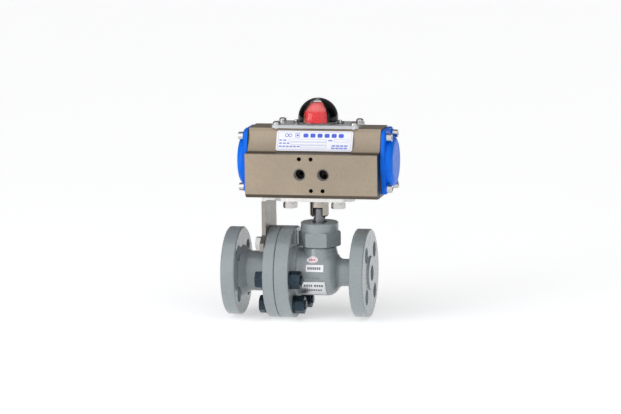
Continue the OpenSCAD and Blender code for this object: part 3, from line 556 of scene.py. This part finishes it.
# The label's outer face, from its own corners
label_low, label_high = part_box("actuator_label")
corners = [v.co for v in nodes["actuator_label"].data.vertices]
foot = min(corners, key=lambda c: (round(c.y, 6), c.z))
head = max(corners, key=lambda c: (round(c.z, 6), -c.y))
label_up = Vector((0, head.y - foot.y, head.z - foot.z))
W, H = (label_high.x - label_low.x) / MM, label_up.length / MM
on_label, label_out = pressed("actuator_label", Vector((label_low.x, foot.y, foot.z)),
                              (1, 0, 0), label_up)

ink_blue = moulded("ink_blue", (0.055, 0.11, 0.66), 0.35, 0.45)
ink_pale = moulded("ink_lilac", (0.22, 0.27, 0.72), 0.35, 0.45)
ink_grey = moulded("ink_grey", (0.10, 0.10, 0.11), 0.4, 0.5)
ink_red = moulded("ink_red", (0.72, 0.10, 0.12), 0.35, 0.45)

heading = Sheet(on_label, label_out)
heading.ring(0.135 * W, 0.77 * H, 1.9, 1.9, 0.6)
heading.ring(0.180 * W, 0.77 * H, 1.9, 1.9, 0.6)
heading.outline(0.245 * W, 0.67 * H, 0.305 * W, 0.88 * H, 0.4, 0.5)
heading.bar(0.262 * W, 0.73 * H, 0.288 * W, 0.82 * H, 0.6)
for k in range(6):
    u = (0.350 + 0.0925 * k) * W
    heading.bar(u, 0.67 * H, u + 0.066 * W, 0.87 * H, 1.3)
piece("label_heading", heading.mesh, "white_label", material=ink_blue)

fields = Sheet(on_label, label_out)
fields.outline(0.022 * W, 0.06 * H, 0.978 * W, 0.94 * H, 0.22, 0.8)
for row, (caption, box0) in enumerate(((0.10, 0.165), (0.14, 0.20), (0.27, 0.32))):
    v = (0.46 - 0.155 * row) * H
    words = max(1, int(caption / 0.045))
    for k in range(words):
        u0 = (0.04 + (caption + 0.01) * k / words) * W
        fields.bar(u0, v + 0.035 * H, u0 + 0.036 * W, v + 0.10 * H)
    fields.outline(box0 * W, v, 0.655 * W, v + 0.135 * H, 0.2, 0.3)
fields.bar(0.68 * W, 0.50 * H, 0.735 * W, 0.56 * H)
fields.outline(0.76 * W, 0.46 * H, 0.945 * W, 0.595 * H, 0.2, 0.3)
for v, u0 in ((0.235, 0.73), (0.115, 0.725)):
    for k in range(4):
        fields.bar((u0 + 0.054 * k) * W, v * H, (u0 + 0.054 * k + 0.045) * W, (v + 0.075) * H)
piece("label_fields", fields.mesh, "white_label", material=ink_pale)


# ---------------------------------------------------------------- prints on the barrel

def on_barrel(radius):
    """Places u along the pipe and v as an angle below or above the front, in degrees."""
    def place(u, v):
        a = math.radians(v)
        return at(u, -radius * math.cos(a), radius * math.sin(a))
    return place


class Wrap(Sheet):
    """Print that follows a round surface about the pipe axis."""

    def __init__(self, radius, thick=0.04):
        self.radius, self.thick = radius, thick
        self.mesh = bmesh.new()

    def fill(self, points):
        low = [self.mesh.verts.new(on_barrel(self.radius)(u, v)) for u, v in points]
        high = [self.mesh.verts.new(on_barrel(self.radius + self.thick)(u, v))
                for u, v in points]
        close(self.mesh, low, high)

    def bar(self, u0, v0, u1, v1, r=0.15):
        steps = max(1, int(abs(v1 - v0) / 3))
        for k in range(steps):
            a = v0 + (v1 - v0) * k / steps
            b = v0 + (v1 - v0) * (k + 1) / steps
            self.fill([(u0, a), (u1, a), (u1, b), (u0, b)])


def skin_radius(node):
    """Outer radius about the pipe axis of a node that follows the barrel."""
    return max(math.hypot(v.co.y, v.co.z) for v in nodes[node].data.vertices) / MM


plate_r = skin_radius("valve_nameplate") + 0.005
plate_print = Wrap(plate_r, 0.05)
for v0, v1, widths in ((-28.5, -22.5, (2.6, 2.4, 2.2, 2.2, 0.0, 2.6, 2.4, 2.2, 2.6)),
                       (-42.0, -36.5, (2.2, 2.6, 2.2, 2.4, 2.6, 2.2, 2.4, 2.2, 0.0))):
    u = -12.6
    for width in widths:
        if width:
            plate_print.bar(u, v0, u + width - 0.7, v1)
        u += width or 1.4
piece("nameplate_print", plate_print.mesh, "nameplate_metal", material=ink_grey)
rim = Wrap(plate_r, 0.12)
for u0, u1, v0, v1 in ((-14.6, 9.1, -16.6, -15.4), (-14.6, 9.1, -56.6, -55.4),
                       (-14.6, -14.1, -56, -16), (8.6, 9.1, -56, -16)):
    rim.bar(u0, v0, u1, v1)
piece("nameplate_rim", rim.mesh, "nameplate_metal")

number = Wrap(skin_radius("plain_sticker") + 0.005)
for k in range(7):
    number.bar(-8.4 + 2.0 * k, 14.6, -7.0 + 2.0 * k, 20.8)
piece("sticker_ticks", number.mesh, "white_label", material=ink_grey)

# Small cast marks between the stickers, raised from the painted barrel
marks = Wrap(23.9, 0.45)
for k, tall in enumerate((3.4, 4.6, 3.0, 4.2, 3.6)):
    marks.bar(-8.6 + 2.7 * k, -6.6 - tall / 2, -7.4 + 2.7 * k, -6.6 + tall / 2)
piece("cast_marks", marks.mesh, "painted_casting")

oval_at = at(-4, -18.9, 15.4)
tilt = math.radians(60)
on_oval, oval_out = pressed("oval_sticker", oval_at, (1, 0, 0),
                            (0, math.cos(tilt), math.sin(tilt)))
oval = Sheet(on_oval, oval_out, 0.05 * MM)
oval.ring(0, 0, 5.0, 2.7, 0.35, 36)
for k in range(4):
    oval.bar(-3.3 + 1.75 * k, -1.05, -2.1 + 1.75 * k, 1.05, 0.3)
piece("oval_print", oval.mesh, "white_label", material=ink_red)

# ---------------------------------------------------------------- threads in the air ports

def port_thread(name, x, z):
    """A helical ridge of pitch 1.34 mm on the wall of a tapped port."""
    mesh = bmesh.new()
    pitch, turns, steps = 1.34, 6.5, 32
    wall, crest, half_foot = 5.70, 5.15, 0.42
    rings = []
    for k in range(int(turns * steps) + 1):
        a = 2 * math.pi * k / steps
        depth = -act_face + 1.6 + pitch * k / steps
        rings.append([mesh.verts.new(at(x + r * math.cos(a), depth + d, z + r * math.sin(a)))
                      for r, d in ((wall, -half_foot), (crest, -0.1), (crest, 0.1),
                                   (wall, half_foot))])
    for a, b in zip(rings, rings[1:]):
        for i in range(4):
            j = (i + 1) % 4
            mesh.faces.new((a[i], b[i], b[j], a[j]))
    mesh.faces.new(rings[0])
    mesh.faces.new(rings[-1][::-1])
    bmesh.ops.recalc_face_normals(mesh, faces=mesh.faces)
    piece(name, mesh, "bronze_anodised", smooth=40, material=thread_metal)


act_face = -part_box("actuator_body")[0].y / MM
thread_metal = bare_metal("thread_metal", (0.20, 0.18, 0.16), 0.2, 0.35)
for side, (x, z) in zip(("left", "right"), AIR_PORTS):
    port_thread("port_thread_" + side, x, z)


# ---------------------------------------------------------------- faceted indicator flags

def flag(name, centre_deg, slot_name):
    """Two opposite quarter shells of flat facets, with a sloping top facet over each."""
    mesh = bmesh.new()
    foot, shoulder, crown = 154.7, 165.0, 174.0
    r_out, r_top, r_in, r_in_top = 16.4, 8.2, 11.6, 6.3
    cuts = (-44.6, -15.0, 15.0, 44.6)
    for side in (centre_deg, centre_deg + 180):
        rings = []
        for deg in cuts:
            a = math.radians(side + deg)
            reach = lambda r, z, a=a: at(r * math.cos(a), r * math.sin(a), z)
            rings.append([mesh.verts.new(reach(r, z)) for r, z in (
                (r_in, foot), (r_out, foot), (r_out, shoulder), (r_top, crown),
                (r_in_top, crown), (r_in_top, 172.8), (r_in, 167.2))])
        n = len(rings[0])
        for a, b in zip(rings, rings[1:]):
            for i in range(n):
                j = (i + 1) % n
                mesh.faces.new((a[i], b[i], b[j], a[j]))
        mesh.faces.new(rings[0])
        mesh.faces.new(rings[-1][::-1])
    bmesh.ops.recalc_face_normals(mesh, faces=mesh.faces)
    obj = piece(name, mesh, slot_name, DRIVE)
    bevel = obj.modifiers.new("soft_edges", "BEVEL")
    bevel.width = 0.25 * MM
    bevel.segments = 2
    bevel.limit_method = "ANGLE"
    return obj


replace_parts(flag("closed_flags", 90, "red_plastic"), "closed_markers")
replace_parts(flag("open_flags", 0, "yellow_plastic"), "open_markers")


# ---------------------------------------------------------------- stage, lights and camera

def stage_mesh(name, points, faces, material):
    data = bpy.data.meshes.new(name)
    data.from_pydata(points, [], faces)
    obj = bpy.data.objects.new(name, data)
    bpy.context.scene.collection.objects.link(obj)
    data.materials.append(material)
    return obj


def blend(tree, value, lo, hi, to_lo, to_hi):
    m = tree.nodes.new("ShaderNodeMapRange")
    m.interpolation_type = "SMOOTHSTEP"
    tree.links.new(value, m.inputs["Value"])
    for key, number in zip(("From Min", "From Max", "To Min", "To Max"), (lo, hi, to_lo, to_hi)):
        m.inputs[key].default_value = number
    return m.outputs[0]


def product(tree, a, b):
    m = tree.nodes.new("ShaderNodeMath")
    m.operation = "MULTIPLY"
    tree.links.new(a, m.inputs[0])
    tree.links.new(b, m.inputs[1])
    return m.outputs[0]


# White paper floor with a faint glow of its own, which stands in for a lit studio table
floor_shade = Shade("floor_paper")
floor_tone = floor_shade.mix(floor_shade.noise(6, 2), (0.90, 0.90, 0.905), (0.93, 0.93, 0.93))
floor_material = floor_shade.done(floor_tone, 0.9, Specular_IOR_Level=0.1,
                                  Emission_Color=(1.0, 1.0, 1.0, 1.0), Emission_Strength=0.46)
FLOOR_Z = cad_low.z - 0.3 * MM
stage_mesh("floor", [(-14, -8, FLOOR_Z), (14, -8, FLOOR_Z), (14, 16, FLOOR_Z),
                     (-14, 16, FLOOR_Z)], [(0, 1, 2, 3)], floor_material)

# The room is bright in front and overhead, and dim behind and to the sides
world = bpy.data.worlds.new("studio")
bpy.context.scene.world = world
world.use_nodes = True
sky = world.node_tree
ray = sky.nodes.new("ShaderNodeSeparateXYZ")
sky.links.new(sky.nodes.new("ShaderNodeTexCoord").outputs["Generated"], ray.inputs[0])
front = blend(sky, ray.outputs[1], -0.18, -0.06, 1.18, 0.22)
side = sky.nodes.new("ShaderNodeMath")
side.operation = "ABSOLUTE"
sky.links.new(ray.outputs[0], side.inputs[0])
wide = blend(sky, side.outputs[0], 0.60, 0.85, 1.0, 0.38)
sky.links.new(product(sky, front, wide), sky.nodes["Background"].inputs["Strength"])
sky.nodes["Background"].inputs["Color"].default_value = (0.985, 0.99, 1.0, 1.0)


def softbox(name, place, target, size, power, tint=(1, 1, 1)):
    light = bpy.data.lights.new(name, "AREA")
    light.shape = "RECTANGLE"
    light.size, light.size_y = size
    light.energy = power
    light.color = tint
    obj = bpy.data.objects.new(name, light)
    obj.location = place
    obj.rotation_mode = "QUATERNION"
    obj.rotation_quaternion = (Vector(target) - Vector(place)).to_track_quat("-Z", "Y")
    bpy.context.scene.collection.objects.link(obj)
    return obj


middle = (cad_low + cad_high) / 2
softbox("key", middle + Vector((-0.9, -1.1, 0.35)), middle, (0.7, 0.9), 4.6)
softbox("fill", middle + Vector((1.3, -0.5, 0.45)), middle, (0.6, 0.6), 0.8)

CAMERA_PLACE = (664.0, -3189.0, 566.1)
FOCAL_LENGTH = 187.8
YAW, PITCH, ROLL = math.radians(11.92), math.radians(8.71), math.radians(-0.75)
forward = Vector((-math.sin(YAW) * math.cos(PITCH), math.cos(YAW) * math.cos(PITCH),
                  -math.sin(PITCH)))
level = Vector((math.cos(YAW), math.sin(YAW), 0))
up = level.cross(forward)
right = level * math.cos(ROLL) + up * math.sin(ROLL)
up = up * math.cos(ROLL) - level * math.sin(ROLL)
lens = bpy.data.cameras.new("camera")
lens.sensor_width = 36.0
lens.lens = FOCAL_LENGTH
lens.clip_start, lens.clip_end = 0.05, 60
camera = bpy.data.objects.new("camera", lens)
bpy.context.scene.collection.objects.link(camera)
turn = Matrix((right, up, -forward)).transposed().to_4x4()
camera.matrix_world = Matrix.Translation(at(*CAMERA_PLACE)) @ turn
bpy.context.scene.camera = camera
bpy.context.scene.view_settings.view_transform = "Standard"
